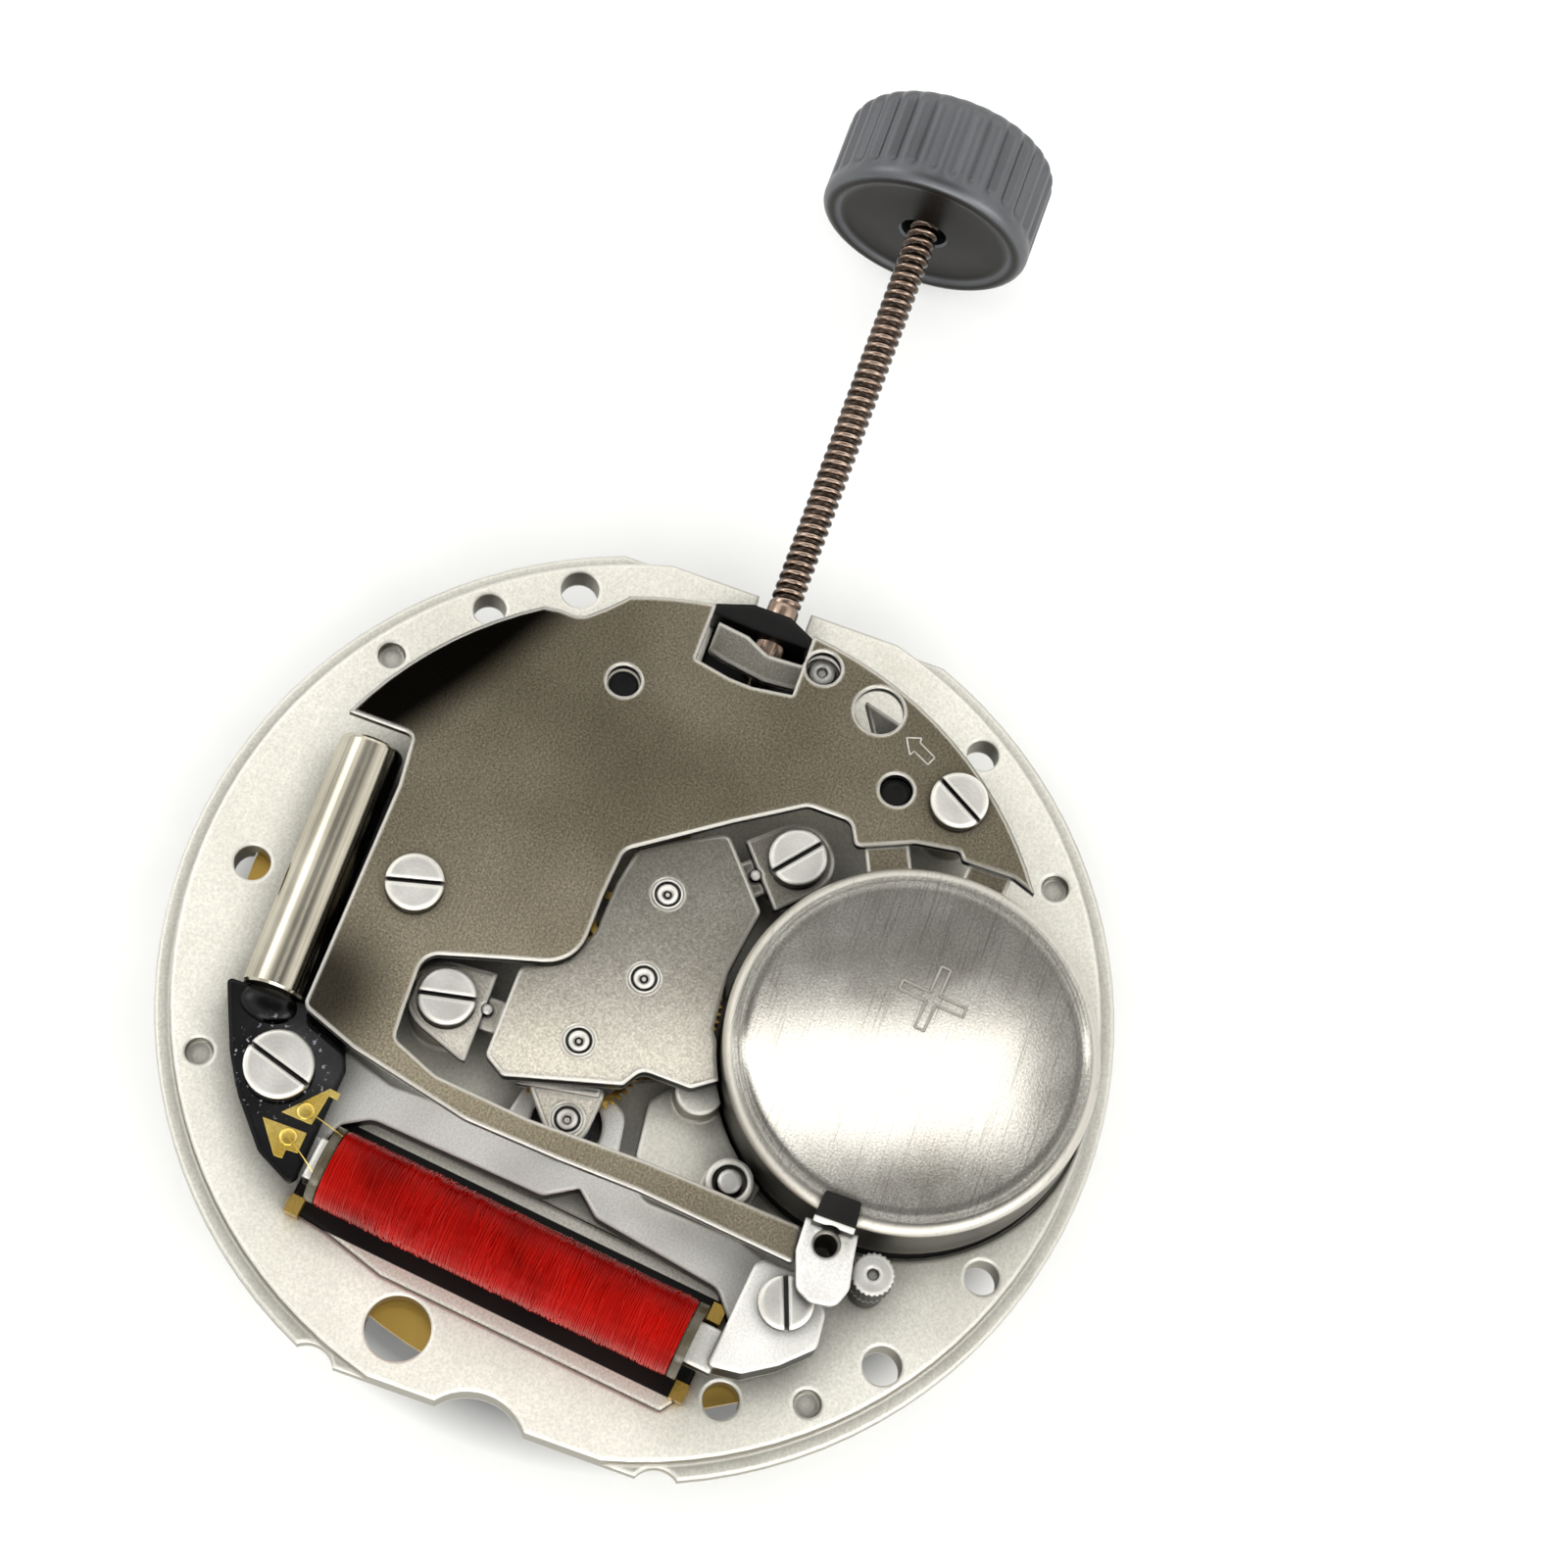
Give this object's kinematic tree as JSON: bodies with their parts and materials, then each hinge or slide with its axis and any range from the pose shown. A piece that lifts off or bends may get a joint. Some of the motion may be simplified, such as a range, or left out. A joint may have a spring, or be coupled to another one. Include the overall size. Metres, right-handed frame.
{
  "type": "watch movement",
  "caption": "Battery-powered analogue watch movement with button cell, coil, going train, motion work, date ring, stem and crown.",
  "frame": {"origin": "the hand arbor's axis where it crosses the dial seat, the plane that the dial rests on", "axes": "+Z points away from the dial to the back of the movement, +X along the stem to the crown"},
  "size_m": [0.031, 0.0204, 0.0053],
  "materials": {
    "plate": "pale satin nickel plate",
    "bridge": "satin steel",
    "cover": "dark bronze grey, fine grain",
    "bright_steel": "polished steel",
    "brass": "gilt brass",
    "jewel": "polished ruby",
    "cell_steel": "nickel-plated steel, fine scratches",
    "black_plastic": "black moulding",
    "board": "glossy black lacquer",
    "bobbin": "clear amber moulding",
    "winding": "red enamelled wire",
    "magnet": "dark sintered magnet",
    "rotor_axle": "pale moulding on a steel axle",
    "stem_steel": "dark oiled steel",
    "crown_steel": "grey satin steel"
  },
  "bodies": {
    "frame": {"main_plate": "plate", "train_bridge": "bridge", "cover_plate": "cover", "calendar_plate": "plate", "calendar_screws": "bright_steel", "cover_screws": "bright_steel", "bridge_screws": "bright_steel", "board_screw": "bright_steel", "coil_screw": "bright_steel", "locating_pins": "bright_steel", "lever_pins": "bridge", "bridge_bushings": "bright_steel", "rotor_jewel": "jewel", "centre_bushing": "brass", "battery": "cell_steel", "battery_insulator": "black_plastic", "negative_contact": "brass", "battery_clamp": "bright_steel", "clamp_pad": "black_plastic", "contact_post": "bright_steel", "module_base": "black_plastic", "coil_tray": "black_plastic", "circuit_board": "board", "contact_pads": "brass", "chip": "board", "crystal_can": "bright_steel", "crystal_leads": "bright_steel", "coil_core": "bridge", "coil_bobbin": "bobbin", "coil_winding": "winding", "coil_terminals": "brass", "stator": "bridge", "stem_guide": "black_plastic", "lever_spring": "bridge", "yoke": "bridge", "date_jumper": "bridge"},
    "rotor": {"rotor_magnet": "magnet", "rotor_pinion": "rotor_axle"},
    "intermediate": {"intermediate_wheel": "brass"},
    "seconds": {"seconds_wheel": "brass"},
    "third": {"third_wheel": "brass"},
    "centre": {"centre_wheel": "brass", "cannon_pinion": "brass"},
    "minute": {"minute_wheel": "brass"},
    "hour": {"hour_wheel": "brass"},
    "setting_idler": {"setting_idler": "bridge"},
    "setting_wheel": {"setting_wheel": "bridge"},
    "date_idler": {"date_idler": "brass"},
    "date_wheel": {"date_wheel": "brass"},
    "date_ring": {"date_ring": "brass"},
    "winding_pinion": {"sliding_pinion": "bridge"},
    "stem": {"stem": "stem_steel", "crown": "crown_steel"},
    "setting_lever": {"setting_lever": "bridge"}
  },
  "joints": [
    {"name": "rotor_spin", "type": "hinge", "parent": "frame", "child": "rotor", "pos_m": [-0.00328, 0.0005, 0.001], "axis": [0, 0, 1], "continuous": true},
    {"name": "intermediate_spin", "type": "hinge", "parent": "frame", "child": "intermediate", "pos_m": [-0.00174, 0.00082, 0.001], "axis": [0, 0, 1], "continuous": true},
    {"name": "seconds_spin", "type": "hinge", "parent": "frame", "child": "seconds", "pos_m": [0, 0, 0.001], "axis": [0, 0, 1], "continuous": true},
    {"name": "third_spin", "type": "hinge", "parent": "frame", "child": "third", "pos_m": [0.00191, 0.00015, 0.001], "axis": [0, 0, 1], "continuous": true},
    {"name": "centre_spin", "type": "hinge", "parent": "frame", "child": "centre", "pos_m": [0, 0, 0.001], "axis": [0, 0, 1], "continuous": true},
    {"name": "minute_wheel_spin", "type": "hinge", "parent": "frame", "child": "minute", "pos_m": [0.00145, -0.00084, 0.001], "axis": [0, 0, 1], "continuous": true},
    {"name": "hour_wheel_spin", "type": "hinge", "parent": "frame", "child": "hour", "pos_m": [0, 0, 0.001], "axis": [0, 0, 1], "continuous": true},
    {"name": "setting_idler_spin", "type": "hinge", "parent": "frame", "child": "setting_idler", "pos_m": [0.00359, -0.00121, 0.001], "axis": [0, 0, 1], "continuous": true},
    {"name": "setting_wheel_spin", "type": "hinge", "parent": "frame", "child": "setting_wheel", "pos_m": [0.00495, 0, 0.001], "axis": [0, 0, 1], "continuous": true},
    {"name": "date_idler_spin", "type": "hinge", "parent": "frame", "child": "date_idler", "pos_m": [-0.00202, -0.00074, 0.001], "axis": [0, 0, 1], "continuous": true},
    {"name": "date_wheel_spin", "type": "hinge", "parent": "frame", "child": "date_wheel", "pos_m": [-0.0046, -0.00168, 0.001], "axis": [0, 0, 1], "continuous": true},
    {"name": "date_ring_turn", "type": "hinge", "parent": "frame", "child": "date_ring", "pos_m": [0, 0, 0.001], "axis": [0, 0, 1], "continuous": true},
    {"name": "crown_turn", "type": "hinge", "parent": "frame", "child": "winding_pinion", "pos_m": [0.019, 0, 0.001], "axis": [1, 0, 0], "continuous": true},
    {"name": "stem_pull", "type": "slide", "parent": "winding_pinion", "child": "stem", "axis": [1, 0, 0], "range_m": [0, 0.0008]},
    {"name": "setting_lever_swing", "type": "hinge", "parent": "frame", "child": "setting_lever", "pos_m": [0.00779, -0.0013, 0.001], "axis": [0, 0, 1], "range_deg": [-34.3, 0]}
  ],
  "couplings": [
    {"joint": "intermediate_spin", "follows": "rotor_spin", "ratio": -0.16667},
    {"joint": "seconds_spin", "follows": "rotor_spin", "ratio": 0.033333},
    {"joint": "third_spin", "follows": "rotor_spin", "ratio": -0.0044444},
    {"joint": "centre_spin", "follows": "rotor_spin", "ratio": 0.00055556},
    {"joint": "minute_wheel_spin", "follows": "rotor_spin", "ratio": -0.00018519},
    {"joint": "hour_wheel_spin", "follows": "rotor_spin", "ratio": 0.000046296},
    {"joint": "setting_idler_spin", "follows": "rotor_spin", "ratio": 0.00025641},
    {"joint": "setting_wheel_spin", "follows": "rotor_spin", "ratio": -0.00025641},
    {"joint": "date_idler_spin", "follows": "rotor_spin", "ratio": -0.00007716},
    {"joint": "date_wheel_spin", "follows": "rotor_spin", "ratio": 0.000023148},
    {"joint": "setting_lever_swing", "follows": "stem_pull", "rad_per_m": -746}
  ]
}
